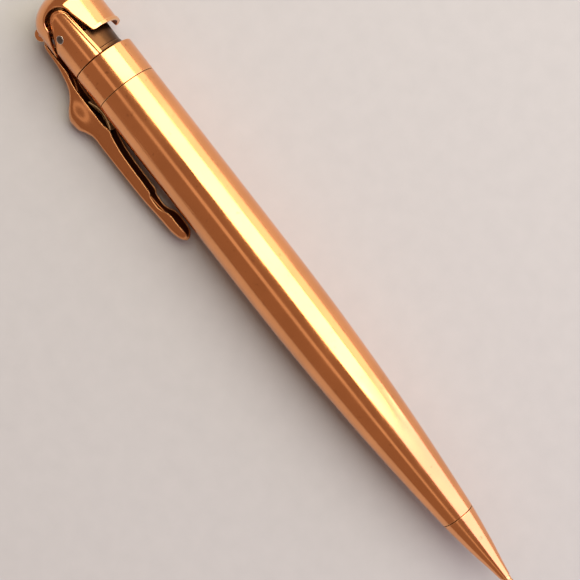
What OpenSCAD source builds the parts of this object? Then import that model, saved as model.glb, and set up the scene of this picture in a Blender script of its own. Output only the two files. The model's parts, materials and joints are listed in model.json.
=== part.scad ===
// Twist-feed mechanical pencil with a finger lever that opens its pocket clip.
// Millimetres. The pencil lies on the table with its writing end towards +X, rolled over
// until the hood and the boss of the clip both touch the table.
// Each piece is drawn upright about its own axis first: X runs along the pencil from the
// collar joint (x = 0) to the point, -Y is the clip side, +Y the thumb side of the lever,
// and Z runs along the cross pins. lying() then puts it on the table.

/* [Barrel] */
// Outer radius of the barrel at its straight part
barrel_r = 5.85; // [5.8:0.05:5.95]
// Outer radius of the collar, the side frame and the barrel where it meets them
collar_r = 5.82; // [5.79:0.01:5.84]
// Length of the barrel
barrel_length = 94; // [93:0.5:95]
// Where the barrel stops swelling and its straight part begins
straight_start_x = 28; // [28:1:30]
// Where the straight part of the barrel ends and its taper begins
barrel_straight = 40; // [38:1:44]
// Radius of the barrel at the nose joint
barrel_end_r = 3.12; // [3.1:0.02:3.2]
// Wall of the barrel
barrel_wall = 0.45; // [0.44:0.01:0.46]

/* [Nose] */
// Gap between the barrel and the turning nose
nose_gap = 0.12; // [0.08:0.02:0.2]
// Where the nose cone ends and only the nozzle goes on
cone_end_x = 107.5; // [107:0.5:108]
// Radius of the nose cone at its small end
cone_end_r = 0.95; // [0.92:0.01:1]
// Mouth of the nozzle
nozzle_end_x = 111; // [110.5:0.5:111.5]
// Outer radius of the nozzle
nozzle_r = 0.8; // [0.78:0.01:0.82]

/* [Lead and feed] */
// Radius of the lead
lead_r = 0.56; // [0.55:0.01:0.57]
// Length of lead outside the nozzle
lead_out = 0.6; // [0.4:0.1:1]
// Distance the carrier moves for one turn of the nose
spiral_pitch = 9; // [8:0.5:10]
// Travel of the carrier towards the point
feed_travel = 24; // [20:1:24]
// Travel of the carrier backwards, to hide the lead
retract_travel = 2; // [1:0.5:2]

/* [Head] */
// Length of the plain collar band
collar_length = 6.5; // [6:0.1:7]
// Radius of the dark neck under the lever hood
neck_r = 4.4; // [4.3:0.05:4.45]
// Position of the hood's pivot along the pencil
pivot_x = -12.9; // [-13:0.1:-12.8]
// Position of the hood's pivot across the pencil, towards the clip
pivot_y = -1.86; // [-1.9:0.02:-1.8]
// Travel of the finger lever in degrees
press_angle = 15; // [10:1:15]

/* [Hood] */
// Outer radius of the hood
hood_r = 6.3; // [6.28:0.01:6.35]
// Wall of the hood
hood_wall = 0.35; // [0.33:0.01:0.36]
// Position of the hood's rim
rim_x = -10.4; // [-10.6:0.1:-10.3]
// Where the domed end begins
dome_x = -16.5; // [-16.8:0.1:-16.2]
// Height of the domed end
dome_height = 4.4; // [4.2:0.1:4.8]

/* [Clip] */
// Position of the clip's hinge pin along the pencil
link_x = -16.8; // [-16.9:0.1:-16.7]
// Position of the clip's hinge pin across the pencil
link_y = -5.8; // [-5.85:0.05:-5.75]
// Width of the clip
clip_width = 3.2; // [3:0.1:3.3]
// Sheet the clip is folded from
clip_sheet = 0.4; // [0.35:0.05:0.45]
// Radius of the boss on the clip
boss_r = 2.25; // [2.2:0.05:2.3]
// Distance of the boss's centre from the pencil's axis
boss_y = -10.2; // [-10.3:0.05:-10.1]

/* [Hidden] */
$fn = 96;

gold = "#c98a52";
pale_gold = "#e0b070";
brass = "#b8893c";
steel = "#b9b4ac";

bore_r = barrel_r - barrel_wall;
taper_length = barrel_length - barrel_straight;
taper_drop = barrel_r - barrel_end_r;
taper_radius = (pow(taper_length, 2) + pow(taper_drop, 2)) / (2 * taper_drop);

// Outer radius of the barrel at a distance x from the collar joint
function barrel_radius(x) =
    x <= barrel_straight ? barrel_r
    : barrel_r - taper_radius + sqrt(pow(taper_radius, 2) - pow(x - barrel_straight, 2));

// The nose carries on the taper and steepens towards the nozzle
nose_x = barrel_length + nose_gap;
nose_length = cone_end_x - nose_x;
nose_slope = 0.125;
nose_bend = (barrel_end_r - cone_end_r - nose_slope * nose_length) / pow(nose_length, 2);
function nose_radius(t) = barrel_end_r - nose_slope * t - nose_bend * pow(t, 2);

running = 0.05;
bush_x = 50;
bush_length = 4;
bush_gap = 0.02;
magazine_r = 3.24;
magazine_wall = 0.34;
spiral_r = 2.75;
spiral_bore = 2.35;
spiral_end_x = 89;
slotted_r = 2.25;
slotted_bore = 1.75;
slotted_start_x = 57;
slotted_end_x = 98;
carrier_x = 62;
carrier_length = 4;
drive_pin_r = 0.45;
push_rod_end_x = 86;
clutch_r = 0.95;
nozzle_start_x = 104;

spigot_r = bore_r - running;
spigot_bore = 4.85;
neck_bore = 4.0;
neck_top_x = -11.5;
frame_bore = 4.95;
frame_gap = 0.4;
pin_r = 0.5;
link_pin_r = 0.45;
hood_bore = hood_r - hood_wall;

// The rounded tongue of the side frame
arch_x = -15.1;
arch_y = 0.4;
arch_r = 2.05;
shoulder_x = -11.6;
slot_clearance = 0.12;

clip_inner_y = -6.35;
clip_end_x = 27;

// Both the hood and the ball of the boss touch the table at this roll
roll = asin((hood_r - boss_r) / -boss_y);
apex_x = dome_x - dome_height;
point_x = nozzle_end_x + lead_out;
middle_x = (apex_x + point_x) / 2;
thumb_side = hood_r + 0.2;
clip_side = -boss_y * cos(roll) + boss_r;
middle_y = (thumb_side - clip_side) / 2;

module lying() {
    translate([-middle_x, -middle_y, hood_r]) rotate([roll, 0, 0]) children();
}

// A shape drawn about Z is laid along X
module along(x = 0) {
    translate([x, 0, 0]) rotate([0, 90, 0]) children();
}

module rod(x0, x1, r) {
    along(x0) cylinder(h = x1 - x0, r = r);
}

module tube(x0, x1, outer, inner) {
    difference() {
        rod(x0, x1, outer);
        rod(x0 - 1, x1 + 1, inner);
    }
}

module cross_pin(x, y, r, length) {
    translate([x, y, 0]) cylinder(h = length, r = r, center = true);
}

// Outline of the barrel, inset by the given amount, as radius against length
module barrel_outline(inset, overrun, start_r) {
    steps = 18;
    polygon(concat(
        [[0, -overrun], [start_r, -overrun], [barrel_r - inset, straight_start_x]],
        [for (i = [0:steps]) let (x = barrel_straight + taper_length * i / steps)
            [barrel_radius(x) - inset, x]],
        [[barrel_end_r - inset, barrel_length + overrun], [0, barrel_length + overrun]]
    ));
}

// ---------- barrel and what is fixed in it ----------

module barrel() {
    color(gold) lying() along() rotate_extrude() difference() {
        barrel_outline(0, 0, collar_r);
        barrel_outline(barrel_wall, 1, bore_r);
    }
}

module centre_bush() {
    color(brass) lying() difference() {
        rod(bush_x, bush_x + bush_length,
            barrel_radius(bush_x + bush_length) - barrel_wall - bush_gap);
        rod(bush_x - 1, bush_x + 2, magazine_r + 0.02);
        rod(bush_x, bush_x + bush_length + 1, spiral_r + 0.02);
    }
}

module front_bush() {
    front_x = 85;
    color(brass) lying()
        tube(front_x, spiral_end_x, barrel_radius(spiral_end_x) - barrel_wall - bush_gap,
             spiral_r + 0.02);
}

// The drive pin runs in the two-sided spiral slot
module spiral_tube() {
    slot_start_x = carrier_x - retract_travel - 0.9;
    slot_end_x = carrier_x + feed_travel + 0.9;
    slot_length = slot_end_x - slot_start_x;
    slot_width = 2.3;
    color(pale_gold) lying() difference() {
        tube(bush_x + 2.2, spiral_end_x, spiral_r, spiral_bore);
        along(slot_start_x)
            rotate([0, 0, 360 * (slot_start_x - carrier_x) / spiral_pitch])
                linear_extrude(slot_length, twist = -360 * slot_length / spiral_pitch,
                               slices = 60, segments = 8)
                    square([3 * spiral_r, slot_width], center = true);
    }
}

module magazine_tube() {
    color(pale_gold) lying() tube(6.2, bush_x + 1.9, magazine_r, magazine_r - magazine_wall);
}

module magazine_plug() {
    color(brass) lying() rod(bush_x + 0.5, bush_x + 1.5, magazine_r - magazine_wall - 0.02);
}

module spare_leads() {
    lead_length = 38;
    color("#3a3a3e") lying() for (turn = [0:120:240])
        rotate([turn, 0, 0]) translate([0, 1.3, 0]) rod(9, 9 + lead_length, lead_r);
}

module eraser_holder() {
    color(pale_gold) lying() tube(-1, 9, magazine_r + 0.36, magazine_r + 0.01);
}

module eraser() {
    eraser_r = 3.2;
    color("#b9584a") lying() along(-5.5) rotate_extrude() union() {
        translate([0, 0.8]) square([eraser_r, 10.2]);
        square([eraser_r - 0.8, 1]);
        translate([eraser_r - 0.8, 0.8]) circle(r = 0.8);
    }
}

// ---------- turning nose ----------

module nose_cone() {
    steps = 10;
    outline = [for (i = [0:steps]) let (t = nose_length * i / steps) [nose_radius(t), nose_x + t]];
    spigot_start_x = 90.4;
    color(gold) lying() difference() {
        union() {
            along() rotate_extrude()
                polygon(concat([[0, nose_x]], outline, [[0, cone_end_x]]));
            rod(spigot_start_x, nose_x + 0.1, barrel_end_r - barrel_wall - running);
        }
        rod(spigot_start_x - 1, slotted_end_x, slotted_r + 0.01);
        rod(slotted_end_x - 1, nozzle_start_x, clutch_r + 0.01);
        rod(nozzle_start_x - 1, cone_end_x + 1, nozzle_r + 0.01);
    }
}

module nozzle() {
    color(pale_gold) lying() tube(nozzle_start_x, nozzle_end_x, nozzle_r, lead_r + 0.04);
}

module slotted_tube() {
    slot_start_x = carrier_x - retract_travel - 1;
    slot_length = retract_travel + feed_travel + 2;
    color(brass) lying() difference() {
        tube(slotted_start_x, slotted_end_x, slotted_r, slotted_bore);
        translate([slot_start_x + slot_length / 2, 0, 0])
            cube([slot_length, 1, 3 * slotted_r], center = true);
    }
}

module thrust_washer() {
    color(steel) lying() tube(89.3, 89.9, 3.0, slotted_r + 0.05);
}

module lead_clutch() {
    color(brass) lying() difference() {
        tube(99, 103, clutch_r, lead_r + 0.03);
        translate([101.5, 0, 0]) cube([3.2, 0.25, 4], center = true);
    }
}

// ---------- lead carrier ----------

module lead_carrier() {
    color(brass) lying() difference() {
        rod(carrier_x - carrier_length / 2, carrier_x + carrier_length / 2,
            slotted_bore - running);
        cross_pin(carrier_x, 0, drive_pin_r, 5);
        rod(carrier_x + 1, carrier_x + carrier_length, 0.5);
    }
}

module drive_pin() {
    color(steel) lying() cross_pin(carrier_x, 0, drive_pin_r, 2 * spiral_r - 0.2);
}

module push_rod() {
    color(steel) lying() rod(carrier_x + 1, push_rod_end_x, 0.5);
}

module lead() {
    point_length = 0.8;
    color("#3a3a3e") lying() union() {
        rod(push_rod_end_x, point_x - point_length, lead_r);
        along(point_x - point_length) cylinder(h = point_length, r1 = lead_r, r2 = 0.3);
    }
}

// ---------- head that plugs into the barrel ----------

module collar() {
    color(gold) lying() tube(-collar_length, 0, collar_r, spigot_r);
}

module spigot_tube() {
    groove_x = 5;
    color(brass) lying() difference() {
        tube(-collar_length, 8, spigot_r, spigot_bore);
        tube(groove_x, groove_x + 0.8, spigot_r + 1, spigot_r - 0.3);
    }
}

// Split spring ring that holds the head in the barrel by friction
module retaining_ring() {
    color(steel) lying() difference() {
        tube(5.1, 5.7, bore_r - 0.02, spigot_r - 0.28);
        translate([5.4, 0, 5]) cube([2, 1.2, 3], center = true);
    }
}

module neck_tube() {
    flange_x = -6;
    color("#4a2a18") lying() difference() {
        union() {
            rod(neck_top_x, 1, neck_r);
            rod(flange_x, flange_x + 1, spigot_bore);
        }
        rod(neck_top_x - 1, 2, neck_bore);
    }
}

module neck_cap() {
    color("#4a2a18") lying() rod(neck_top_x + 0.1, neck_top_x + 0.5, neck_bore);
}

// Side outline of the frame: a rounded tongue that widens to the clip side at its foot
module frame_outline(grow) {
    foot_x = -collar_length - frame_gap;
    translate([arch_x, arch_y]) circle(r = arch_r + grow, $fn = 64);
    polygon([
        [foot_x + grow, 3.1 + grow],
        [arch_x, arch_y + arch_r + grow],
        [arch_x - 1.1, -1.3 - grow],
        [shoulder_x - grow, -5.2 - grow],
        [shoulder_x - grow, -9],
        [foot_x + grow, -9]
    ]);
}

module around_pivot(angle) {
    translate([pivot_x, pivot_y]) rotate(angle) translate([-pivot_x, -pivot_y]) children();
}

module side_frame() {
    foot_x = -collar_length - frame_gap;
    color(gold) lying() difference() {
        intersection() {
            union() {
                tube(arch_x - 4, foot_x, collar_r, frame_bore);
                tube(foot_x - 2, foot_x, frame_bore + 0.1, neck_r + 0.01);
            }
            linear_extrude(20, center = true) frame_outline(0);
        }
        cross_pin(pivot_x, pivot_y, pin_r + 0.1, 20);
        // room for the stem of the clip when it rocks
        difference() {
            translate([-9, -8, 0]) cube([10, 8, clip_width + 1], center = true);
            rod(-20, 0, frame_bore + 0.35);
        }
    }
}

module pivot_pin() {
    color(steel) lying() cross_pin(pivot_x, pivot_y, pin_r, 10.4);
}

// Torsion spring on the pivot pin, with one leg on the neck cap
module return_spring() {
    wire = 0.2;
    coil_r = 0.95;
    color(steel) lying() translate([pivot_x, pivot_y, 0]) {
        for (z = [-2.6:0.45:-1.2])
            translate([0, 0, z]) rotate_extrude() translate([coil_r, 0]) circle(r = wire, $fn = 24);
        translate([coil_r, 0, -1.25]) rotate([-90, 0, 0]) cylinder(h = 3.5, r = wire, $fn = 24);
    }
}

// ---------- finger lever ----------

module hood_outline(radius, height) {
    steps = 14;
    polygon(concat(
        [[0, rim_x], [radius, rim_x]],
        [for (i = [0:steps]) let (a = 90 * i / steps)
            [radius * cos(a), dome_x - height * sin(a)]]
    ));
}

// The space that the frame needs while the lever is pressed
module slot_outline(grow) {
    for (angle = [0:3:press_angle]) around_pivot(angle) frame_outline(grow);
}

module lug(side) {
    translate([0, 0, side * 1.35]) linear_extrude(0.8, center = true) {
        translate([link_x, link_y]) circle(r = 1.25, $fn = 48);
        polygon([[-18, -5.2], [link_x, link_y - 1.25], [-15.7, -5.4], [-16.2, -4.8]]);
    }
}

module hood() {
    color(gold) lying() difference() {
        union() {
            along() rotate_extrude() hood_outline(hood_r, dome_height);
            lug(-1);
            lug(1);
        }
        along() rotate_extrude() hood_outline(hood_bore, dome_height - hood_wall);
        rod(rim_x - 0.5, rim_x + 1, hood_bore);
        linear_extrude(20, center = true) slot_outline(slot_clearance);
        // room for the knuckle and the stem of the clip
        translate([-16.7, -6.6, 0]) cube([3.4, 4, 1.84], center = true);
        translate([-13.3, -6.6, 0]) cube([4, 4, clip_width + 0.9], center = true);
        cross_pin(link_x, link_y, link_pin_r, 4);
    }
}

module hood_lip() {
    color(pale_gold) lying() difference() {
        intersection() {
            tube(rim_x - 0.5, rim_x + 0.1, thumb_side, hood_r);
            translate([rim_x, 10, 0]) cube([3, 20, 20], center = true);
        }
        linear_extrude(20, center = true) slot_outline(slot_clearance);
    }
}

// Two ears that reach from the dome down to the pivot pin
module hood_bridge() {
    color(brass) lying() difference() {
        intersection() {
            along() rotate_extrude() hood_outline(hood_bore, dome_height - hood_wall);
            for (side = [-1, 1])
                translate([0, 0, side * 3.55]) linear_extrude(0.7, center = true) {
                    translate([pivot_x, pivot_y]) circle(r = 1, $fn = 48);
                    polygon([[pivot_x, pivot_y - 1], [pivot_x, pivot_y + 1], [-16, 1.4],
                             [-21, 1.4], [-21, -2.6], [-16, -2.6]]);
                }
        }
        cross_pin(pivot_x, pivot_y, pin_r + running, 20);
    }
}

module link_pin() {
    color(steel) lying() cross_pin(link_x, link_y, link_pin_r, 3.6);
}

// ---------- pocket clip ----------

module clip_side_outline() {
    polygon([
        [-15, -6.6], [-14.7, -7.15], [-11, -7.45], [-7.5, -8.1], [-3, -9.6], [1.5, -10.6],
        [3.5, -10.4], [15, -10.4], [21, -10.05], [24.6, -9.75], [26.2, -9.3], [clip_end_x, -8.7],
        [26.9, -8.2], [26.2, -7.75], [24.5, -7.6], [22, -7.6], [20.9, -7.7], [19, -8],
        [17.5, -8.15], [15.2, -8.05], [8.7, -7.95], [3.5, -7], [2.5, -7.4],
        [-5, -7.35], [-8, -6.9], [-9, clip_inner_y], [-14.6, clip_inner_y]
    ]);
}

// The channel inside the folded sheet, open towards the barrel
module clip_channel_outline() {
    polygon([
        [-16, -5], [-16, -6.7], [-11, -7.05], [-7.5, -7.7], [-3, -9.2], [1.5, -10.2],
        [3.5, -10], [15, -10], [21, -9.65], [24.6, -9.35], [26, -8.9], [26.3, -8.5],
        [26.1, -8.1], [25.6, -7.4], [25.4, -6], [0, -5]
    ]);
}

module clip() {
    color(gold) lying() difference() {
        linear_extrude(clip_width, center = true) clip_side_outline();
        linear_extrude(clip_width - 2 * clip_sheet, center = true) clip_channel_outline();
        // room for the boss, which is a part of its own
        translate([-2.2, boss_y, 0]) sphere(r = boss_r);
    }
}

// Ball that the thumb feels; it is soldered into the clip
module clip_boss() {
    color(pale_gold) lying() difference() {
        translate([-2.2, boss_y, 0]) sphere(r = boss_r);
        translate([-2.2, boss_y, 0]) sphere(r = boss_r - 0.5);
    }
}

module clip_knuckle() {
    color(brass) lying() difference() {
        linear_extrude(1.6, center = true) {
            translate([link_x, link_y]) circle(r = 1.15, $fn = 48);
            polygon([[link_x + 0.7, link_y - 0.85], [-15, -6.7], [-12, -6.88], [-12, -6.5],
                     [link_x + 0.6, link_y + 0.4]]);
        }
        cross_pin(link_x, link_y, link_pin_r + running, 4);
    }
}

// Bowed leaf that the clip rocks on
module clip_leaf() {
    leaf_x = 0.5;
    leaf_r = 6;
    touch_y = -barrel_r - 0.1;
    color(brass) lying() linear_extrude(2, center = true) intersection() {
        difference() {
            translate([leaf_x, touch_y - leaf_r]) circle(r = leaf_r);
            translate([leaf_x, touch_y - leaf_r]) circle(r = leaf_r - 0.25);
        }
        translate([leaf_x - 3.2, touch_y - 1.1]) square([6.4, 2]);
    }
}

barrel();
centre_bush();
front_bush();
spiral_tube();
magazine_tube();
magazine_plug();
spare_leads();
eraser_holder();
eraser();
nose_cone();
nozzle();
slotted_tube();
thrust_washer();
lead_clutch();
lead_carrier();
drive_pin();
push_rod();
lead();
collar();
spigot_tube();
retaining_ring();
neck_tube();
neck_cap();
side_frame();
pivot_pin();
return_spring();
hood();
hood_lip();
hood_bridge();
link_pin();
clip();
clip_boss();
clip_knuckle();
clip_leaf();
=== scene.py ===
"""Looks of the mechanical pencil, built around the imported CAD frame.

Shapes are worked out in millimetres in the pencil's own frame, as in the CAD: x runs from the
collar joint to the point, -y is the clip side, +y the thumb side of the lever hood, and z runs
along the cross pins. LYING carries that frame onto the table in metres.
"""

import json
import math

import bpy
import numpy as np
from mathutils import Matrix, Vector


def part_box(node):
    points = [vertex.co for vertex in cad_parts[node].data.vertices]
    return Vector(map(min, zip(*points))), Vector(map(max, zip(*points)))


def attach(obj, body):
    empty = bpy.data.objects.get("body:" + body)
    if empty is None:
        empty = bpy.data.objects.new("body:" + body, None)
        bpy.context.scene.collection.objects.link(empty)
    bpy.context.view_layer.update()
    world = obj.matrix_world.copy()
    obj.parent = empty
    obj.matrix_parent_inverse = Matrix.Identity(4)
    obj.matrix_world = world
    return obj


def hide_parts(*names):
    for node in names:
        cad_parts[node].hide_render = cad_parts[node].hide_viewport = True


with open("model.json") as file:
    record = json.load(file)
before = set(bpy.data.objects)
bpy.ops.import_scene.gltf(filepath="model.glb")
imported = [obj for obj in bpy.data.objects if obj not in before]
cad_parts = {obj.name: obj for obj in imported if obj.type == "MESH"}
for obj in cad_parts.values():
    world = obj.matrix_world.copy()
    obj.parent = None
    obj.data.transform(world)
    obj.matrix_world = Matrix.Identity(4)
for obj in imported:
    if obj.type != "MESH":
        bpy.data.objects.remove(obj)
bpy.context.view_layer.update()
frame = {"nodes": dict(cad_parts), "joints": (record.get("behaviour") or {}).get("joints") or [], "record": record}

MM = 0.001
JOINTS = {joint["name"]: joint for joint in frame["joints"]}


def box_mm(node):
    low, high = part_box(node)
    return low / MM, high / MM


def driving_sizes():
    """Axis, roll and main sizes of the pencil, read from the CAD frame."""
    low, high = box_mm("barrel")
    axis = Vector((low.x, (low.y + high.y) / 2, (low.z + high.z) / 2))
    pin = Vector(JOINTS["clip_rock"]["axis"])
    return axis, math.atan2(-pin.y, pin.z), (high.z - low.z) / 2, high.x - low.x


AXIS, ROLL, BARREL_R, BARREL_LENGTH = driving_sizes()
LYING = Matrix.Scale(MM, 4) @ Matrix.Translation(AXIS) @ Matrix.Rotation(ROLL, 4, "X")


def own_frame(point):
    """A point of the row, in metres, in the pencil's own frame in millimetres."""
    return LYING.inverted() @ Vector(point)


PIVOT = own_frame(JOINTS["lever_press"]["pos_m"])
LINK = own_frame(JOINTS["clip_rock"]["pos_m"])


def reach(node):
    """Where a node begins and ends along the pencil, in its own frame."""
    low, high = box_mm(node)
    return low.x - AXIS.x, high.x - AXIS.x


# ---------- materials ----------

class Nodes:
    """A short way to write a node material."""

    def __init__(self, name):
        self.material = bpy.data.materials.new(name)
        self.material.use_nodes = True
        self.tree = self.material.node_tree
        self.shader = self.tree.nodes["Principled BSDF"]
        self.place = self.add("ShaderNodeTexCoord").outputs["Object"]

    def add(self, kind, **values):
        node = self.tree.nodes.new(kind)
        for key, value in values.items():
            if key in node.inputs:
                node.inputs[key].default_value = value
            else:
                setattr(node, key, value)
        return node

    def link(self, source, target):
        self.tree.links.new(source, target)

    def stretched(self, scale):
        mapping = self.add("ShaderNodeMapping")
        mapping.inputs["Scale"].default_value = scale
        self.link(self.place, mapping.inputs["Vector"])
        return mapping.outputs["Vector"]

    def noise(self, scale, detail=3.0, rough=0.5, vector=None):
        node = self.add("ShaderNodeTexNoise", Scale=scale, Detail=detail, Roughness=rough)
        self.link(vector or self.place, node.inputs["Vector"])
        return node.outputs["Fac"]

    def spread(self, value, low, high, out_low, out_high):
        node = self.add("ShaderNodeMapRange")
        node.interpolation_type = "SMOOTHSTEP"
        for name, number in zip(("From Min", "From Max", "To Min", "To Max"),
                                (low, high, out_low, out_high)):
            node.inputs[name].default_value = number
        self.link(value, node.inputs["Value"])
        return node.outputs["Result"]

    def math(self, operation, first, second):
        node = self.add("ShaderNodeMath", operation=operation)
        for socket, value in zip(node.inputs, (first, second)):
            if isinstance(value, (int, float)):
                socket.default_value = value
            else:
                self.link(value, socket)
        return node.outputs[0]

    def mix(self, factor, first, second):
        node = self.add("ShaderNodeMix", data_type="RGBA")
        for index, value in ((6, first), (7, second)):
            if isinstance(value, tuple):
                node.inputs[index].default_value = (*value, 1)
            else:
                self.link(value, node.inputs[index])
        self.link(factor, node.inputs[0])
        return node.outputs[2]

    def bump(self, height, strength, distance, below=None):
        node = self.add("ShaderNodeBump", Strength=strength, Distance=distance)
        self.link(height, node.inputs["Height"])
        if below:
            self.link(below, node.inputs["Normal"])
        return node.outputs["Normal"]

    def attribute(self, name):
        return self.add("ShaderNodeAttribute", attribute_name=name).outputs["Fac"]


def polished_metal(name, colour, spot_and_shade_colour, worn, gloss, scratch=0.5, brushed=False):
    """Handled metal: slow colour drift, painted shade and grime in the hollows, paler rubbed edges, fine
    scratches.
    """
    n = Nodes(name)
    n.shader.inputs["Metallic"].default_value = 1.0
    drift = n.spread(n.noise(90, 3), 0.35, 0.68, 0.0, 1.0)
    tint = n.mix(drift, colour, tuple(0.9 * c for c in colour))
    spots = n.spread(n.noise(900, 5, 0.7), 0.60, 0.74, 0.0, 0.35)
    tint = n.mix(spots, tint, spot_and_shade_colour)
    # painted shade: concave places, inner faces and pin ends darken towards the dark colour; joint faces darken
    # with grime
    tint = n.mix(n.attribute("shade_and_grime"), tint, spot_and_shade_colour)
    tint = n.mix(n.attribute("rubbed"), tint, worn)
    n.link(tint, n.shader.inputs["Base Color"])
    along = n.noise(900, 4, 0.65, n.stretched((0.035, 1, 1)))
    around = n.noise(1500, 3, 0.6, n.stretched((1, 0.12, 0.12)))
    hairs = n.spread(along, 0.60, 0.72, 0.0, 1.0)
    smears = n.noise(240, 4, 0.6, n.stretched((0.4, 1, 1)))
    rough = n.spread(smears, 0.3, 0.75, gloss, gloss + 0.10)
    rough = n.math("ADD", rough, n.math("MULTIPLY", hairs, 0.10))
    rough = n.math("ADD", rough, n.math("MULTIPLY", n.attribute("shade_and_grime"), 0.25))
    n.link(rough, n.shader.inputs["Roughness"])
    dents = n.bump(n.noise(55, 2, 0.5), 0.25, 0.0004)
    lines = n.bump(around if brushed else along, 0.10 * scratch, 0.00005, dents)
    n.link(n.bump(n.noise(5200, 2, 0.6), 0.05 * scratch, 0.00002, lines),
           n.shader.inputs["Normal"])
    return n.material


def dull_solid(name, colour, second, rough, grain, depth):
    """Rubber and graphite: mottled colour, fine grain."""
    n = Nodes(name)
    tint = n.mix(n.spread(n.noise(500, 5, 0.6), 0.35, 0.7, 0.0, 1.0), colour, second)
    n.link(n.mix(n.attribute("rubbed"), tint, tuple(1.5 * c for c in colour)),
           n.shader.inputs["Base Color"])
    n.link(n.spread(n.noise(grain, 4), 0.3, 0.7, rough - 0.1, rough + 0.1),
           n.shader.inputs["Roughness"])
    n.link(n.bump(n.noise(grain, 4, 0.65), 0.4, depth), n.shader.inputs["Normal"])
    return n.material


ROSE = (0.91, 0.40, 0.165)
# the second colour of each metal is used for random dark spots and for painted shade
MATERIALS = {
    "rolled_gold": polished_metal("rolled_gold_metal", ROSE, (0.16, 0.045, 0.015),
                                  (0.95, 0.52, 0.24), 0.10),
    "pale_gold": polished_metal("pale_gold_metal", (0.95, 0.47, 0.20), (0.25, 0.09, 0.03),
                                (0.98, 0.60, 0.30), 0.14),
    "mechanism_brass": polished_metal("turned_brass", (0.76, 0.53, 0.24), (0.30, 0.19, 0.08),
                                      (0.90, 0.72, 0.42), 0.24, 1.5, True),
    "bright_steel": polished_metal("bright_steel_metal", (0.72, 0.70, 0.68),
                                   (0.050, 0.026, 0.016), (0.90, 0.88, 0.86), 0.18, 1.0, True),
    "dark_neck": polished_metal("darkened_brass", (0.10, 0.045, 0.02), (0.05, 0.02, 0.01),
                                (0.40, 0.20, 0.10), 0.28, 2.0, True),
    "graphite": dull_solid("graphite_lead", (0.055, 0.055, 0.06), (0.11, 0.11, 0.12),
                           0.45, 3000, 0.00003),
    "eraser_rubber": dull_solid("eraser_red_rubber", (0.42, 0.13, 0.09), (0.52, 0.19, 0.14),
                                0.75, 2200, 0.00008),
}
SLOT_OF = {entry["node"]: entry["material_slot"] for entry in frame["record"]["subparts"]}

for node, part in frame["nodes"].items():
    part.data.materials.clear()
    part.data.materials.append(MATERIALS[SLOT_OF[node]])


# ---------- outlines ----------

def smooth_curve(pairs):
    """A smooth, never overshooting curve through (x, y) pairs."""
    xs, ys = (np.array(column, float) for column in zip(*pairs))
    slopes = np.diff(ys) / np.diff(xs)
    tangents = np.zeros(len(xs))
    same = slopes[1:] * slopes[:-1] > 0
    tangents[1:-1][same] = (2 * slopes[1:] * slopes[:-1])[same] / (slopes[1:] + slopes[:-1])[same]
    tangents[0], tangents[-1] = slopes[0], slopes[-1]

    def value(x):
        i = min(max(int(np.searchsorted(xs, x)) - 1, 0), len(xs) - 2)
        h = xs[i + 1] - xs[i]
        t = min(max((x - xs[i]) / h, 0), 1)
        return float((2 * t**3 - 3 * t**2 + 1) * ys[i] + (t**3 - 2 * t**2 + t) * h * tangents[i]
                     + (3 * t**2 - 2 * t**3) * ys[i + 1] + (t**3 - t**2) * h * tangents[i + 1])

    return value


def soften(outline, radius, steps=5, closed=True):
    """Rounds each corner of an outline, and sets a point close by on either side of it."""
    made = []
    count = len(outline)
    for i, corner in enumerate(outline):
        if not closed and i in (0, count - 1):
            made.append(Vector(corner))
            continue
        corner = Vector(corner)
        before, after = Vector(outline[i - 1]), Vector(outline[(i + 1) % count])
        cut = min(radius, 0.42 * (before - corner).length, 0.42 * (after - corner).length)
        start = corner + (before - corner).normalized() * cut
        end = corner + (after - corner).normalized() * cut
        made.append(start + (before - start).normalized() * cut * 0.3)
        for k in range(steps + 1):
            t = k / steps
            made.append(start * (1 - t) ** 2 + corner * 2 * t * (1 - t) + end * t**2)
        made.append(end + (after - end).normalized() * cut * 0.3)
    return made


def spaced(outline, longest, closed=True):
    """Divides the long stretches of an outline."""
    made = []
    last = len(outline) if closed else len(outline) - 1
    for i in range(last):
        a, b = Vector(outline[i]), Vector(outline[(i + 1) % len(outline)])
        parts = max(1, math.ceil((b - a).length / longest))
        made += [a.lerp(b, k / parts) for k in range(parts)]
    return made if closed else made + [Vector(outline[-1])]


# ---------- meshes ----------

def grid_faces(rows, columns, closed_rows=False, closed_columns=False):
    """Faces between neighbouring rows of a grid of points."""
    faces = []
    for i in range(rows if closed_rows else rows - 1):
        for j in range(columns if closed_columns else columns - 1):
            a, b = i * columns, (i + 1) % rows * columns
            k = (j + 1) % columns
            faces.append((a + j, a + k, b + k, b + j))
    return faces


def turned(outline, turns):
    """The points of an (x, r) outline at each step of a full turn about the pencil's axis."""
    return [(x, r * math.cos(a), r * math.sin(a))
            for x, r in outline
            for a in (2 * math.pi * k / turns for k in range(turns))]


def lathe(outline, turns=192):
    """Revolves a closed (x, r) outline, in millimetres, about the pencil's axis."""
    return turned(outline, turns), grid_faces(len(outline), turns, True, True)


def lathe_solid(outline, turns=96):
    """Revolves an open (x, r) outline that starts and ends on the axis."""
    inner = outline[1:-1]
    verts = turned(inner, turns)
    faces = grid_faces(len(inner), turns, False, True)
    first, last = len(verts), len(verts) + 1
    verts += [(outline[0][0], 0, 0), (outline[-1][0], 0, 0)]
    end = (len(inner) - 1) * turns
    for k in range(turns):
        j = (k + 1) % turns
        faces += [(first, j, k), (last, end + k, end + j)]
    return verts, faces


def weld(verts, faces, digits=5):
    """Joins points that coincide and drops faces that collapse."""
    index, kept, new = {}, [], []
    for v in verts:
        key = tuple(round(c, digits) for c in v)
        if key not in index:
            index[key] = len(kept)
            kept.append(v)
        new.append(index[key])
    made = []
    for face in faces:
        loop = []
        for i in face:
            if new[i] not in loop:
                loop.append(new[i])
        if len(loop) > 2:
            made.append(tuple(loop))
    return kept, made


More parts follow.
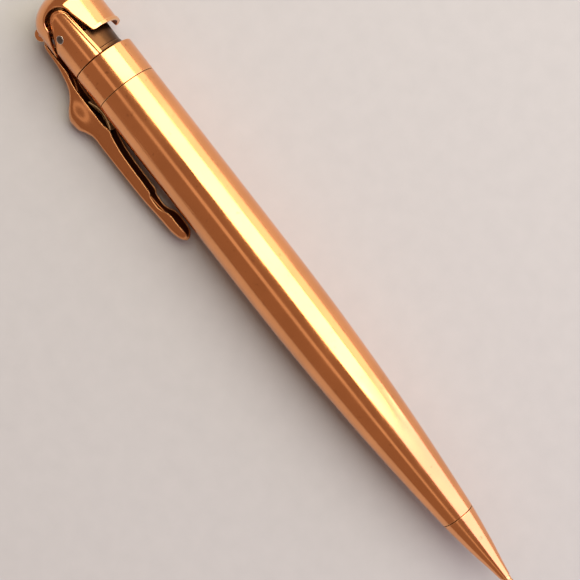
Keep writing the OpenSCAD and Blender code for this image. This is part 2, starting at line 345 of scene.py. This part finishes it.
def used(verts, faces):
    """Drops the points that no face uses."""
    order = sorted({i for face in faces for i in face})
    new = {old: k for k, old in enumerate(order)}
    return [verts[i] for i in order], [tuple(new[i] for i in face) for face in faces]


def point_normals(verts, faces):
    """The points as an array, and the normal of the surface at each of them."""
    co = np.array([tuple(v) for v in verts], float)
    total = np.zeros_like(co)
    for face in faces:
        p = co[list(face)]
        normal = np.zeros(3)
        for k in range(len(face)):
            normal += np.cross(p[k], p[(k + 1) % len(face)])
        total[list(face)] += normal
    return co, total / np.maximum(np.linalg.norm(total, axis=1), 1e-12)[:, None]


def rim_edges(faces):
    """The open edges of a surface, each in the direction of its face."""
    directed = {(face[k], face[(k + 1) % len(face)]) for face in faces for k in range(len(face))}
    return [(a, b) for a, b in directed if (b, a) not in directed]


def thicken(verts, faces, wall, steps=6, squareness=0.7):
    """Gives an open skin its sheet thickness, inwards, with rounded edges all round."""
    co, normals = point_normals(verts, faces)
    count = len(co)
    made = [*co, *(co - wall * normals)]
    all_faces = list(faces) + [tuple(i + count for i in reversed(face)) for face in faces]
    edges = rim_edges(faces)
    after = dict(edges)
    before = {b: a for a, b in edges}
    half = wall / 2
    rings = {}
    for i in after:
        way = co[after[i]] - co[before[i]]
        way /= max(np.linalg.norm(way), 1e-12)
        out = np.cross(way, normals[i])
        middle = co[i] - half * normals[i]
        rings[i] = [i]
        for k in range(1, steps):
            a = math.pi * k / steps
            up, aside = math.cos(a), math.sin(a)
            made.append(middle + half * (
                aside ** squareness * out
                + math.copysign(abs(up) ** squareness, up) * normals[i]))
            rings[i].append(len(made) - 1)
        rings[i].append(i + count)
    for a, b in edges:
        for k in range(steps):
            all_faces.append((rings[b][k], rings[a][k], rings[a][k + 1], rings[b][k + 1]))
    return made, all_faces


def punch(verts, faces, centre, radius, side):
    """Cuts a round cross hole through the side of a skin and rounds its edge points."""
    def away(v):
        return math.hypot(v[0] - centre[0], v[1] - centre[1])

    inside = {i for i, v in enumerate(verts) if v[2] * side > 0 and away(v) < radius}
    kept = [face for face in faces if not inside & set(face)]
    cut = {i for face in faces if inside & set(face) for i in face}
    moved = [tuple(v) for v in verts]
    for i in cut & {i for edge in rim_edges(kept) for i in edge}:
        x, y, z = moved[i]
        distance = away(moved[i])
        if z * side > 0 and distance < 1.6 * radius:
            scale = radius / distance
            height = centre[1] + (y - centre[1]) * scale
            moved[i] = (centre[0] + (x - centre[0]) * scale, height,
                        side * math.sqrt(y * y + z * z - height * height))
    return used(moved, kept)


def plate(outline, z0, z1, radius, steps=5):
    """A flat plate of the given outline with rounded edges, between two heights."""
    points = np.array([tuple(p) for p in outline], float)
    following = np.roll(points, -1, 0)
    if np.sum(points[:, 0] * following[:, 1] - following[:, 0] * points[:, 1]) < 0:
        points = points[::-1]
    way = np.roll(points, -1, 0) - np.roll(points, 1, 0)
    way /= np.linalg.norm(way, axis=1)[:, None]
    inward = np.stack([-way[:, 1], way[:, 0]], 1)
    levels = []
    for k in range(steps + 1):
        a = math.pi / 2 * k / steps
        levels.append((radius * (1 - math.sin(a)), z0 + radius * (1 - math.cos(a))))
    levels += [(inset, z1 - (z - z0)) for inset, z in reversed(levels)]
    verts = [(*(p + inset * n), z) for inset, z in levels for p, n in zip(points, inward)]
    count = len(points)
    faces = grid_faces(len(levels), count, False, True)
    centre = points.mean(0)
    for level, z, turn in ((0, z0, -1), (len(levels) - 1, z1, 1)):
        verts.append((*centre, z))
        middle = len(verts) - 1
        for j in range(count):
            a, b = level * count + j, level * count + (j + 1) % count
            faces.append((a, b, middle) if turn > 0 else (b, a, middle))
    return verts, faces


def joined(*meshes):
    """Several meshes as one, without joining their points."""
    verts, faces = [], []
    for more_verts, more_faces in meshes:
        faces += [tuple(i + len(verts) for i in face) for face in more_faces]
        verts += list(more_verts)
    return verts, faces


def edge_marks(mesh, least_shade_and_grime=None):
    """Stores how concave and how exposed each point is: concave places get painted shade and grime, exposed edges
    get rubbed wear.
    """
    count = len(mesh.vertices)
    co = np.zeros(count * 3)
    normal = np.zeros(count * 3)
    mesh.vertices.foreach_get("co", co)
    mesh.vertices.foreach_get("normal", normal)
    co, normal = co.reshape(-1, 3), normal.reshape(-1, 3)
    ends = np.zeros(len(mesh.edges) * 2, int)
    mesh.edges.foreach_get("vertices", ends)
    a, b = ends.reshape(-1, 2).T
    step = co[b] - co[a]
    length = np.maximum(np.linalg.norm(step, axis=1), 1e-9)
    bend = np.einsum("ij,ij->i", normal[b] - normal[a], step) / length**2
    total, number = np.zeros(count), np.zeros(count)
    for end in (a, b):
        np.add.at(total, end, bend)
        np.add.at(number, end, 1)
    bend = total / np.maximum(number, 1) * MM
    for _ in range(2):
        total[:] = 0
        np.add.at(total, a, bend[b])
        np.add.at(total, b, bend[a])
        bend = 0.5 * bend + 0.5 * total / np.maximum(number, 1)
    # painted shade and grime: concave places are darkened, and the given least values raise this
    shade_and_grime = (-bend - 0.4) / 3
    if least_shade_and_grime is not None:
        shade_and_grime = np.maximum(shade_and_grime, least_shade_and_grime)
    for name, values in (("rubbed", (bend - 0.8) / 4), ("shade_and_grime", shade_and_grime)):
        mesh.attributes.new(name, "FLOAT", "POINT").data.foreach_set(
            "value", np.clip(values, 0, 0.85).astype(np.float32))


def inside_shade_and_dull(shape, wall_points):
    """Marks the inner half of a thickened skin, which no polish has reached: it is darkened as painted shade and
    made rougher.
    """
    return [1.0 if wall_points <= i < 2 * wall_points else 0.0 for i in range(len(shape[0]))]


def piece(name, shape, body, slot, replaces=(), least_shade_and_grime=None):
    """Makes an object of a shape in the pencil's frame and ties it to its CAD body."""
    verts, faces = shape
    mesh = bpy.data.meshes.new(name)
    mesh.from_pydata([LYING @ Vector(v) for v in verts], [], faces)
    mesh.validate()
    mesh.shade_smooth()
    mesh.materials.append(MATERIALS[slot])
    edge_marks(mesh, least_shade_and_grime)
    made = bpy.data.objects.new(name, mesh)
    bpy.context.scene.collection.objects.link(made)
    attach(made, body)
    if replaces:
        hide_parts(*replaces)
    return made


# ---------- barrel, collar and nose ----------

JOINT_GAP = 0.12
BARREL_START = 0.07
BARREL_SHEET = 0.44
COLLAR_SHEET = 0.49
NOSE_SHEET = 0.3
SPIGOT_R = 2.6
NOZZLE_R = 0.8
NOZZLE_BORE = 0.6
LEAD_R = 0.56
NOSE_START = BARREL_LENGTH + JOINT_GAP
CONE_END = reach("nose_cone")[1]
NOZZLE_END = reach("nozzle")[1]
COLLAR_R = (box_mm("collar")[1].z - box_mm("collar")[0].z) / 2
barrel_radius = smooth_curve([
    (0, COLLAR_R), (14, 5.84), (28, BARREL_R), (40, BARREL_R), (49, 5.77), (58, 5.54), (67, 5.16),
    (76, 4.63), (85, 3.94), (BARREL_LENGTH, 3.12)])
nose_radius = smooth_curve([
    (NOSE_START, 3.11), (98, 2.57), (101.5, 2.02), (105, 1.36), (CONE_END, 0.96)])


def shell(start, end, radius, wall, longest=1.6, edge=0.13):
    """A closed outline of a thin revolved shell that follows radius(x)."""
    count = max(2, math.ceil((end - start) / longest))
    xs = [start + (end - start) * k / count for k in range(count + 1)]
    outer = [(x, radius(x)) for x in xs]
    inner = [(x, radius(x) - wall) for x in reversed(xs)]
    corners = {0, count, count + 1, 2 * count + 1}
    outline = outer + inner
    made = []
    for i, point in enumerate(outline):
        if i in corners:
            trio = [outline[i - 1], point, outline[(i + 1) % len(outline)]]
            made += soften(trio, edge, 5, False)[1:-1]
        else:
            made.append(Vector(point))
    return made


def joint_grime(shape, *ends):
    """Dirt on the end faces of a tube, which darkens its joint lines."""
    return [max(0.0, 1 - min(abs(v[0] - end) for end in ends) / 0.09) for v in shape[0]]


def round_pieces():
    barrel = lathe(shell(BARREL_START, BARREL_LENGTH, barrel_radius, BARREL_SHEET, 1.2, 0.08))
    piece("barrel_shell", barrel, "barrel", "rolled_gold", ["barrel"],
          joint_grime(barrel, BARREL_START, BARREL_LENGTH))
    start, end = reach("collar")[0], -0.02
    collar = lathe(shell(start, end, lambda x: COLLAR_R, COLLAR_SHEET, 0.8, 0.16))
    piece("collar_band", collar, "head", "rolled_gold", ["collar"], joint_grime(collar, start, end))
    nose = shell(NOSE_START, CONE_END, nose_radius, NOSE_SHEET, 0.7, 0.07)
    start, end = 90.4, NOSE_START + 0.4
    spigot = soften([(start, SPIGOT_R - NOSE_SHEET), (start, SPIGOT_R),
                     (end, SPIGOT_R), (end, SPIGOT_R - NOSE_SHEET)], 0.08)
    cone = joined(lathe(nose), lathe(spigot))
    piece("nose_cone_shell", cone, "nose", "rolled_gold", ["nose_cone"],
          joint_grime(cone, NOSE_START, CONE_END))
    start, _ = reach("nozzle")
    groove = NOZZLE_R - 0.06
    tip = [(start, NOZZLE_BORE), (start, NOZZLE_R), (CONE_END + 0.6, NOZZLE_R),
           (CONE_END + 0.75, groove), (CONE_END + 0.95, groove), (CONE_END + 1.1, NOZZLE_R),
           (NOZZLE_END - 0.4, NOZZLE_R - 0.02), (NOZZLE_END, 0.66), (NOZZLE_END, NOZZLE_BORE)]
    piece("nozzle_tube", lathe(spaced(soften(tip, 0.06, 4), 0.5), 96), "nose", "pale_gold",
          ["nozzle"])


def lead_piece():
    start, end = reach("lead")
    outline = [(start, 0), (start, LEAD_R), (end - 0.8, LEAD_R), (end - 0.1, 0.3), (end, 0)]
    soft = soften(outline, 0.12, 4, False)
    piece("lead_point", lathe_solid(spaced(soft, 1.0, False), 64), "feed", "graphite", ["lead"])


# ---------- lever hood ----------

HOOD_R = 6.3
RIM_X = -10.52
DOME_X = -16.5
DOME_HEIGHT = 4.4
SLOT_TOP = -17.9
CLIP_RIM = -11.9
SLOT_CENTRE_Y = 0.1
SLOT_BEND_THUMB = -15.15
SLOT_BEND_CLIP = -15.5
SLOT_CORNER = 0.25
HOOD_SHEET = 0.35
LUG_INSIDE = 0.98
LUG_OUTSIDE = 1.78
THUMB_COLUMNS = 96
FLANK_COLUMNS = 30


def hood_radius(x):
    """Straight, then a flat dome."""
    if x >= DOME_X:
        return HOOD_R
    return HOOD_R * math.sqrt(max(0.0, 1 - ((DOME_X - x) / DOME_HEIGHT) ** 2))


def slot_arc(x, bend, half_width):
    """Half width of the round end of the slot, an ellipse that begins at its bend."""
    return half_width * math.sqrt(max(0.0, 1 - ((x - bend) / (SLOT_TOP - bend)) ** 2))


def slot_right(x):
    """Edge of the hood's slot on the thumb side."""
    if x < SLOT_BEND_THUMB:
        return SLOT_CENTRE_Y + slot_arc(x, SLOT_BEND_THUMB, 2.9)
    y = 3.0 + (x - SLOT_BEND_THUMB) * 0.235
    past = max(0.0, x - (RIM_X - SLOT_CORNER))
    return y + SLOT_CORNER - math.sqrt(max(0.0, SLOT_CORNER**2 - past**2))


def slot_left(x):
    """Edge of the hood's slot on the clip side."""
    if x < SLOT_BEND_CLIP:
        return SLOT_CENTRE_Y - slot_arc(x, SLOT_BEND_CLIP, 2.82)
    return -2.72 - (x - SLOT_BEND_CLIP) * 0.83


def notch_half_width(x):
    """The opening in the hood for the clip: narrow at its knuckle, wide at its stem."""
    t = min(max((x + 15.9) / 0.5, 0), 1)
    return 1.12 + 1.05 * t**2 * (3 - 2 * t)


def on_hood(x, angle):
    r = hood_radius(x)
    return (x, r * math.cos(angle), r * math.sin(angle))


def at_height(y, x):
    """The angle on the hood at which it is y away from the pins' plane."""
    return math.acos(max(-1.0, min(1.0, y / hood_radius(x))))


def eased(start, end, count, power=2.0):
    """Rows that crowd near the start."""
    return [start + (end - start) * (k / count) ** power for k in range(count + 1)]


def strip(rows, edges, columns):
    """A patch on the hood: for each x, the angles between two edges."""
    verts = []
    for x in rows:
        low, high = edges(x)
        verts += [on_hood(x, low + (high - low) * k / columns) for k in range(columns + 1)]
    return verts, grid_faces(len(rows), columns + 1)


def hood_skin():
    """Two flanks and the thumb side around the slots, closed by the dome."""
    top = SLOT_TOP
    corner_x = RIM_X - SLOT_CORNER
    thumb_rows = eased(top, SLOT_BEND_THUMB, 16)
    thumb_rows += [SLOT_BEND_THUMB + (corner_x - SLOT_BEND_THUMB) * k / 16 for k in range(1, 17)]
    thumb_rows += [corner_x + SLOT_CORNER * math.sin(math.pi / 2 * k / 8) for k in range(1, 9)]
    clip_rows = eased(top, SLOT_BEND_CLIP, 16)
    clip_rows += [SLOT_BEND_CLIP + (CLIP_RIM - SLOT_BEND_CLIP) * k / 14 for k in range(1, 15)]
    full = 2 * math.pi

    def thumb_edge(x):
        return at_height(slot_right(x), x)

    def clip_edge(x):
        return at_height(slot_left(x), x)

    def notch(x):
        return math.pi - math.asin(notch_half_width(x) / hood_radius(x))

    thumb = strip(thumb_rows, lambda x: (-thumb_edge(x), thumb_edge(x)), THUMB_COLUMNS)
    front = strip(clip_rows, lambda x: (clip_edge(x), notch(x)), FLANK_COLUMNS)
    back = strip(clip_rows, lambda x: (full - notch(x), full - clip_edge(x)), FLANK_COLUMNS)

    # the dome's rings carry on from the points where the slots and the notch begin
    edge, gap = thumb_edge(top), notch(top)
    flank = [(gap - edge) * k / FLANK_COLUMNS for k in range(FLANK_COLUMNS + 1)]
    angles = [-edge + 2 * edge * k / THUMB_COLUMNS for k in range(THUMB_COLUMNS + 1)]
    angles += [edge + step for step in flank[1:]]
    angles += [gap + (full - 2 * gap) * k / 10 for k in range(1, 10)]
    angles += [full - gap + step for step in flank[:-1]]
    slope = math.asin((DOME_X - top) / DOME_HEIGHT)
    rings = 40
    verts = []
    for k in range(rings):
        a = slope + (math.pi / 2 - slope) * k / rings
        x, r = DOME_X - DOME_HEIGHT * math.sin(a), HOOD_R * math.cos(a)
        verts += [(x, r * math.cos(t), r * math.sin(t)) for t in angles]
    faces = [tuple(reversed(f)) for f in grid_faces(rings, len(angles), False, True)]
    verts.append((DOME_X - DOME_HEIGHT, 0, 0))
    last = (rings - 1) * len(angles)
    for j in range(len(angles)):
        faces.append((last + (j + 1) % len(angles), last + j, len(verts) - 1))
    return weld(*joined(thumb, front, back, (verts, faces)))


def eye(radius, start, end):
    """Part of a circle about the link pin, in steps of ten degrees."""
    return [(LINK.x + radius * math.cos(a), LINK.y + radius * math.sin(a))
            for a in (math.radians(d) for d in range(start, end + 1, 10))]


def lug_outline():
    """Round eye about the link pin, running into the hood's shoulder."""
    return eye(1.25, -200, 20) + [(-15.75, -5.35), (-16.1, -4.75), (-17.6, -4.6)]


def hood_pieces():
    skin = hood_skin()
    shell_of = thicken(*skin, HOOD_SHEET)
    piece("hood_shell", shell_of, "lever", "rolled_gold", ["hood"],
          inside_shade_and_dull(shell_of, len(skin[0])))
    for side, label in ((1, "front"), (-1, "back")):
        z0, z1 = sorted((side * LUG_INSIDE, side * LUG_OUTSIDE))
        piece(f"hood_lug_{label}", plate(spaced(lug_outline(), 0.25), z0, z1, 0.14), "lever",
              "rolled_gold")


def lip_piece():
    """The proud bead along the thumb edge of the hood's rim."""
    half = math.acos(4.25 / HOOD_R)
    foot = HOOD_R - 0.05
    section = soften([(-10.98, foot), (-10.98, HOOD_R + 0.18), (-10.34, HOOD_R + 0.2),
                      (-10.34, foot)], 0.12, 5)
    count = 72
    verts = []
    for k in range(count + 1):
        angle = -half + 2 * half * k / count
        fade = min(1, 6 * min(k, count - k) / count + 0.15)
        for x, r in section:
            r = foot + (r - foot) * fade
            verts.append((x, r * math.cos(angle), r * math.sin(angle)))
    faces = [tuple(reversed(f)) for f in grid_faces(count + 1, len(section), False, True)]
    faces.append(tuple(range(len(section))))
    faces.append(tuple(count * len(section) + k for k in reversed(range(len(section)))))
    piece("hood_lip_bead", (verts, faces), "lever", "pale_gold", ["hood_lip"])


# ---------- side frame ----------

FOOT_X = reach("collar")[0] - 0.4
ARCH = Vector((-15.1, 0.4))
ARCH_R = 1.82
ARCH_END_X = -16.0
TONGUE_FLARE = 0.079
BEAD_HEIGHT = 0.10
BEAD_FROM_EDGE = 0.30
BEAD_WIDTH = 0.16
ROLL_DEPTH = 0.42
ROLL_WIDTH = 4
FRAME_SHEET = 0.5
PIVOT_HOLE_R = 0.6
PIVOT_PIN_R = 0.5
PIVOT_HEAD_R = 0.76
PIVOT_HALF_LENGTH = 5.0
SHOULDER_X = -11.6
cheek_slope = smooth_curve([(ARCH_END_X, -1.18), (-15.2, -1.75), (-13.4, -3.1),
                            (SHOULDER_X, -4.95)])


def cheek_right(x):
    """Edge of the tongue on the thumb side."""
    if x < ARCH.x:
        return ARCH.y + math.sqrt(max(0.0, ARCH_R**2 - (x - ARCH.x) ** 2))
    return ARCH.y + ARCH_R + (x - ARCH.x) * TONGUE_FLARE


def cheek_left(x):
    """Edge of the tongue on the clip side."""
    if x < ARCH_END_X:
        return ARCH.y - math.sqrt(max(0.0, ARCH_R**2 - (x - ARCH.x) ** 2))
    return cheek_slope(x)


def frame_point(x, angle, low, high):
    """On the frame, with a bead along the tongue's edges and a rolled thumb-side edge."""
    r = COLLAR_R
    y = r * math.cos(angle)
    from_right = ARCH.y + ARCH_R + (x - ARCH.x) * TONGUE_FLARE - y
    r -= ROLL_DEPTH * max(0.0, 1 - from_right / ROLL_WIDTH) ** 2
    from_arch = ARCH_R - math.hypot(x - ARCH.x, y - ARCH.y)
    if x < ARCH_END_X:
        edges = (from_arch,)
    elif x < ARCH.x and y > ARCH.y:
        edges = (from_arch, y - high)
    else:
        edges = (low - y, y - high)
    for edge in edges:
        r += BEAD_HEIGHT * math.exp(-((edge - BEAD_FROM_EDGE) / BEAD_WIDTH) ** 2)
    return (x, r * math.cos(angle), r * math.sin(angle))


def frame_skin():
    """Two tongues that stand on a tube."""
    top = ARCH.x - ARCH_R + 0.012
    tongue_rows = eased(top, ARCH.x, 18) + [
        ARCH.x + (SHOULDER_X - ARCH.x) * k / 22 for k in range(1, 23)]
    foot_rows = [SHOULDER_X + (FOOT_X - SHOULDER_X) * k / 24 for k in range(25)]
    columns = 72
    clustered = [0.3 * k / columns + 0.35 * (1 - math.cos(math.pi * k / columns))
                 for k in range(columns + 1)]

    def angle_at(y):
        return math.acos(max(-1.0, min(1.0, y / COLLAR_R)))

    def row(x, side, left):
        low, high = angle_at(cheek_right(x)), angle_at(left)
        return [frame_point(x, side * (low + (high - low) * c), cheek_right(x),
                            left if x < SHOULDER_X - 0.01 else -99) for c in clustered]

    def tongue(side):
        verts = [v for x in tongue_rows for v in row(x, side, cheek_left(x))]
        faces = grid_faces(len(tongue_rows), columns + 1)
        return verts, faces if side > 0 else [tuple(reversed(f)) for f in faces]

    shoulder = cheek_left(SHOULDER_X)
    a = angle_at(shoulder)
    under_clip = [a + (2 * math.pi - 2 * a) * k / 16 for k in range(1, 16)]
    lines = [row(x, 1, shoulder)
             + [(x, COLLAR_R * math.cos(t), COLLAR_R * math.sin(t)) for t in under_clip]
             + row(x, -1, shoulder)[::-1] for x in foot_rows]
    foot = [point for line in lines for point in line], grid_faces(len(lines), len(lines[0]))
    return weld(*joined(tongue(1), tongue(-1), foot), digits=3)


def frame_pieces():
    verts, faces = frame_skin()
    for side in (1, -1):
        verts, faces = punch(verts, faces, PIVOT, PIVOT_HOLE_R, side)
    shell_of = thicken(verts, faces, FRAME_SHEET)
    piece("side_frame_shell", shell_of, "head", "rolled_gold", ["side_frame"],
          inside_shade_and_dull(shell_of, len(verts)))
    length = PIVOT_HALF_LENGTH
    half_pin = [(length - 1.05, PIVOT_PIN_R), (length - 1, PIVOT_HEAD_R - 0.02),
                (length, PIVOT_HEAD_R), (length, 0)]
    pin = [(-x, r) for x, r in reversed(half_pin)] + half_pin
    verts, faces = lathe_solid(spaced(soften(pin, 0.06, 4, False), 0.3, False), 40)
    verts = [(PIVOT.x + b, PIVOT.y + c, a) for a, b, c in verts]
    # painted shade: the pin's ends are darkened to stand for the shade in the hole around them
    least_shade_and_grime = [1.0 if abs(v[2]) > length - 0.6 else 0.0 for v in verts]
    # the pin's ends are filed flush with the round of the side frame
    verts = [(x, y, z + math.copysign(math.sqrt(COLLAR_R**2 - y * y) + 0.02 - length, z))
             if abs(z) > length - 1.02 else (x, y, z) for x, y, z in verts]
    piece("pivot_pin_rod", (verts, faces), "head", "bright_steel", ["pivot_pin"], least_shade_and_grime)
    neck = [(-11.5, 4.0), (-11.5, 4.4), (-7.6, 4.4), (-7.5, 4.5), (-6.9, 4.5), (-6.8, 5.0),
            (-6.2, 5.25), (-6.0, 5.25), (-6.0, 4.0)]
    piece("neck_sleeve", lathe(spaced(soften(neck, 0.08, 4), 0.4), 144), "head", "dark_neck",
          ["neck_tube"])


# ---------- pocket clip ----------

clip_back = smooth_curve([
    (-15, 6.95), (-14.3, 7.2), (-11, 7.45), (-8.4, 8.0), (-6.6, 8.7), (-5, 9.9), (-3.6, 11.4),
    (-2.1, 12.3), (-0.4, 12.1), (1.2, 11.2), (2.6, 10.55), (3.8, 10.4), (9, 10.4), (15, 10.35),
    (21, 10.05), (24.6, 9.75), (26.2, 9.3), (27, 8.7)])
clip_inner = smooth_curve([
    (-15, 6.62), (-9, 6.62), (-7.6, 7.0), (-5, 7.35), (2.2, 7.35), (3.6, 7.05), (5, 7.4), (9, 7.95),
    (16.4, 8.2), (17.1, 8.6), (19.2, 8.75), (20.4, 8.45), (21.4, 7.85), (22.6, 7.62),
    (25.4, 7.62), (26.4, 7.85), (27, 8.3)])
clip_half = smooth_curve([
    (-15, 1.5), (-9, 1.58), (18, 1.6), (21, 1.62), (23.6, 1.8), (25.4, 1.55), (26.4, 1.0),
    (27, 0.3)])
clip_crown = smooth_curve([
    (-15, 0.4), (-9, 0.8), (-6.6, 1.3), (-3.6, 2.0), (-1.8, 2.2), (0.8, 1.8), (3.2, 1.0),
    (5, 0.8), (15, 0.9), (17.5, 0.95), (22, 1.3), (25, 1.35), (27, 0.35)])
BOSS = Vector((-2.2, 10.2))
BOSS_SWELL = 0.55
BOSS_LENGTH = 2.3
BOSS_WIDTH = 1.7
CLIP_START = -15.0
CLIP_END = 27.0
CLIP_SHEET = 0.36
LEAF_R = 6.0
LEAF_SHEET = 0.25
LEAF_X = 0.5
WALL_STEPS = 8
BACK_STEPS = 14
BACK_ROUND = 0.82


def clip_swell(x, r):
    """The ball of the boss pushes the channel's walls outward."""
    return BOSS_SWELL * math.exp(-((x - BOSS.x) / BOSS_LENGTH) ** 2
                                 - ((r - BOSS.y) / BOSS_WIDTH) ** 2)


def clip_section(x):
    """Half outline of the folded channel: inner edge, side wall, rounded back."""
    back, half = clip_back(x), clip_half(x)
    crown = min(clip_crown(x), back - clip_inner(x) - 0.02)
    inner = clip_inner(x)
    points = [(inner + (back - crown - inner) * k / WALL_STEPS, half) for k in range(WALL_STEPS)]
    for k in range(BACK_STEPS + 1):
        t = math.pi / 2 * k / BACK_STEPS
        points.append((back - crown + crown * math.sin(t) ** BACK_ROUND,
                       half * math.cos(t) ** BACK_ROUND))
    return [(r, z * (1 + clip_swell(x, r) / half)) for r, z in points]


def clip_skin():
    """The folded channel, section by section."""
    stations = spaced([(CLIP_START, 0), (-6.6, 0), (3.0, 0), (CLIP_END, 0)], 0.22, False)
    near_end = [CLIP_END - 0.1, CLIP_END - 0.05]
    xs = sorted(set(round(x, 4) for x in [p.x for p in stations] + near_end))
    verts = []
    for x in xs:
        half = clip_section(x)
        verts += [(x, -r, z) for r, z in half] + [(x, -r, -z) for r, z in reversed(half[:-1])]
    return verts, grid_faces(len(xs), 2 * (WALL_STEPS + BACK_STEPS) + 1)


def leaf_arc(radius):
    """An arc of the bowed leaf, whose crown almost touches the barrel."""
    centre_y = -BARREL_R - 0.1 - LEAF_R
    return [(LEAF_X + radius * math.cos(a), centre_y + radius * math.sin(a))
            for a in (math.radians(90 + d) for d in range(-32, 33, 2))]


def clip_pieces():
    skin = clip_skin()
    shell_of = thicken(*skin, CLIP_SHEET)
    least_shade_and_grime = inside_shade_and_dull(shell_of, len(skin[0]))
    # satin outside; painted shade darkens the inside and the sheet's edges
    piece("clip_channel", shell_of, "clip", "rolled_gold", ["clip", "clip_boss"],
          [max(value, 0.8 if i >= 2 * len(skin[0]) else 0.18) for i, value in enumerate(least_shade_and_grime)])
    tongue = [(-15.2, -5.95), (-13.6, -6.62), (-12.2, -6.75), (-12.2, -7.05), (-14.2, -7.0)]
    piece("clip_tongue", plate(spaced(eye(1.12, -150, 90)[::-1] + tongue[::-1], 0.25),
                               -0.8, 0.8, 0.12), "clip", "rolled_gold", ["clip_knuckle"])
    leaf = plate(leaf_arc(LEAF_R) + leaf_arc(LEAF_R - LEAF_SHEET)[::-1], -1.0, 1.0, 0.06)
    # painted shade: the leaf is darkened all over, as it lies in the shade between clip and barrel
    piece("bowed_leaf", leaf, "clip", "mechanism_brass", ["clip_leaf"], [0.85] * len(leaf[0]))
    for side, label in ((1, "front"), (-1, "back")):
        link_pin_head(side, label)


def link_pin_head(side, label):
    """The low domed end of the link pin on one lug."""
    head = [(0, 0.42), (0.06, 0.4), (0.14, 0.3), (0.18, 0.15)]
    height = 0.2
    z = side * LUG_OUTSIDE
    turns = 28
    verts = [(LINK.x + b, LINK.y + c, z + side * h) for h, b, c in turned(head, turns)]
    verts.append((LINK.x, LINK.y, z + side * height))
    last = (len(head) - 1) * turns
    faces = grid_faces(len(head), turns, False, True)
    faces += [(last + k, last + (k + 1) % turns, len(verts) - 1) for k in range(turns)]
    faces.append(tuple(reversed(range(turns))))
    if side < 0:
        faces = [tuple(reversed(f)) for f in faces]
    # painted shade: the head is darkened all over so that it reads as a dark hole
    piece(f"link_pin_head_{label}", (verts, faces), "lever", "bright_steel",
          least_shade_and_grime=[0.85] * len(verts))


# ---------- camera, light and floor ----------

CAMERA_LENS = 93
CAMERA_HEIGHT = 0.261
CAMERA_AIM_X = 45.1
CAMERA_SIDESTEP = 0.001
DOWN_THE_PENCIL = Vector((0.6131, 0.79, 0)).normalized()
LIGHT_DISTANCE = 0.75
FLOOR_HALF = 1.5


def camera():
    """Almost straight above, with the pencil running from upper left to lower right."""
    data = bpy.data.cameras.new("camera")
    data.lens = CAMERA_LENS
    data.sensor_width = 36
    data.clip_start = 0.01
    viewpoint = bpy.data.objects.new("camera", data)
    bpy.context.scene.collection.objects.link(viewpoint)
    right = DOWN_THE_PENCIL
    up = Vector((-right.y, right.x, 0))
    turn = Matrix((right, up, Vector((0, 0, 1)))).transposed()
    place = LYING @ Vector((CAMERA_AIM_X, 0, 0)) + Vector((0, CAMERA_SIDESTEP, CAMERA_HEIGHT))
    viewpoint.matrix_world = Matrix.Translation(place) @ turn.to_4x4()
    bpy.context.scene.camera = viewpoint


def area_light(name, lean, along, size, power, colour):
    """A soft panel that leans by an angle from straight above, moved along the pencil."""
    data = bpy.data.lights.new(name, "AREA")
    data.shape = "RECTANGLE"
    data.size, data.size_y = size
    data.energy = power
    data.color = colour
    lamp = bpy.data.objects.new(name, data)
    bpy.context.scene.collection.objects.link(lamp)
    back = Vector((0, math.sin(lean), math.cos(lean)))
    side = Vector((1, 0, 0))
    turn = Matrix((side, back.cross(side), back)).transposed()
    lamp.matrix_world = (Matrix.Translation(along * side + LIGHT_DISTANCE * back)
                         @ turn.to_4x4())


def studio():
    world = bpy.context.scene.world or bpy.data.worlds.new("world")
    bpy.context.scene.world = world
    world.use_nodes = True
    bpy.context.scene.view_settings.view_transform = "Standard"
    backdrop = world.node_tree.nodes["Background"]
    backdrop.inputs["Color"].default_value = (0.40, 0.26, 0.19, 1)
    backdrop.inputs["Strength"].default_value = 0.8
    # the window gives the broad cream band and fades towards the point, the others give the
    # softer lines on either side of it
    for name, angle, along, size, power, colour in (
            ("window", 31, -0.16, (0.68, 0.73), 8.0, (1.0, 0.95, 0.74)),
            ("window_end", 49, 0.52, (0.68, 1.21), 6.5, (0.85, 0.75, 1.0)),
            ("thumb_side_panel", 73, -0.26, (0.88, 0.40), 1.9, (1.0, 0.95, 0.85)),
            ("clip_side_strip", -31, 0, (1.4, 0.14), 0.26, (1.0, 0.90, 0.80))):
        area_light(name, math.radians(angle), along, size, power, colour)
    half = FLOOR_HALF
    mesh = bpy.data.meshes.new("floor")
    mesh.from_pydata([(-half, -half, 0), (half, -half, 0), (half, half, 0), (-half, half, 0)],
                     [], [(0, 1, 2, 3)])
    floor = bpy.data.objects.new("floor", mesh)
    bpy.context.scene.collection.objects.link(floor)
    n = Nodes("pale_floor")
    n.link(n.mix(n.noise(300, 4), (0.40, 0.41, 0.45), (0.44, 0.45, 0.49)),
           n.shader.inputs["Base Color"])
    n.shader.inputs["Roughness"].default_value = 0.8
    mesh.materials.append(n.material)


camera()
studio()
round_pieces()
lead_piece()
hood_pieces()
lip_piece()
frame_pieces()
clip_pieces()
